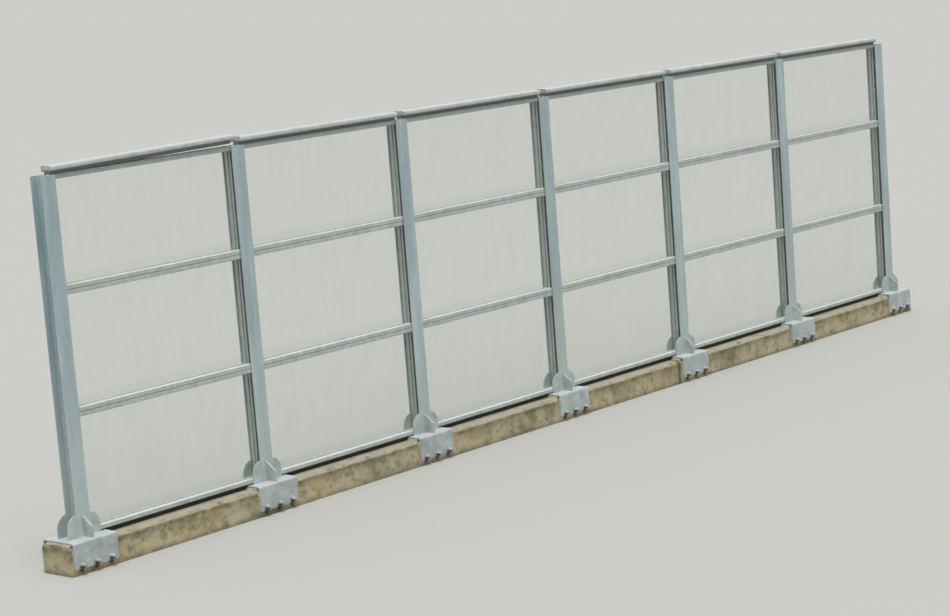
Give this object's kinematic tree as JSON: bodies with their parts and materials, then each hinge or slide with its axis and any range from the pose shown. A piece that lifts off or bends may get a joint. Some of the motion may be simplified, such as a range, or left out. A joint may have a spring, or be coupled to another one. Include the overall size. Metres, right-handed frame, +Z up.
{
  "type": "transparent highway noise barrier",
  "caption": "Row of framed clear acrylic cassettes between galvanised H posts, which stand on steel saddles bolted over a low concrete plinth, with a round cap along the top.",
  "frame": {"origin": "middle of the underside of the plinth, at footway level", "axes": "+X along the row, -Y towards the road, +Z up"},
  "size_m": [12.5, 0.454, 3.211],
  "materials": {
    "concrete": "cast concrete, stained ochre and mossy along its top edge",
    "mortar": "levelling mortar, rough",
    "galvanised_steel": "hot-dip galvanised, dull and streaked",
    "zinc_bolts": "galvanised nuts and washers, weathered",
    "aluminium": "extruded, weathered satin",
    "clear_sheet": "clear acrylic sheet, dusty",
    "black_rubber": "weathered EPDM",
    "grey_rubber": "light grey glazing gasket, dusty"
  },
  "bodies": {
    "root": {"plinth": "concrete", "mortar_beds": "mortar", "saddle_1": "galvanised_steel", "saddle_2": "galvanised_steel", "saddle_3": "galvanised_steel", "saddle_4": "galvanised_steel", "saddle_5": "galvanised_steel", "saddle_6": "galvanised_steel", "saddle_7": "galvanised_steel", "anchor_nuts": "zinc_bolts", "post_1": "galvanised_steel", "post_2": "galvanised_steel", "post_3": "galvanised_steel", "post_4": "galvanised_steel", "post_5": "galvanised_steel", "post_6": "galvanised_steel", "post_7": "galvanised_steel", "bay_1_rails": "aluminium", "bay_2_rails": "aluminium", "bay_3_rails": "aluminium", "bay_4_rails": "aluminium", "bay_5_rails": "aluminium", "bay_6_rails": "aluminium", "bay_1_stiles": "aluminium", "bay_2_stiles": "aluminium", "bay_3_stiles": "aluminium", "bay_4_stiles": "aluminium", "bay_5_stiles": "aluminium", "bay_6_stiles": "aluminium", "bay_1_panes": "clear_sheet", "bay_2_panes": "clear_sheet", "bay_3_panes": "clear_sheet", "bay_4_panes": "clear_sheet", "bay_5_panes": "clear_sheet", "bay_6_panes": "clear_sheet", "bay_1_cap": "aluminium", "bay_2_cap": "aluminium", "bay_3_cap": "aluminium", "bay_4_cap": "aluminium", "bay_5_cap": "aluminium", "bay_6_cap": "aluminium", "glazing_gaskets": "grey_rubber", "side_rubbers": "black_rubber", "joint_seals": "black_rubber", "bottom_seals": "black_rubber", "bearing_pads": "black_rubber"}
  },
  "joints": []
}
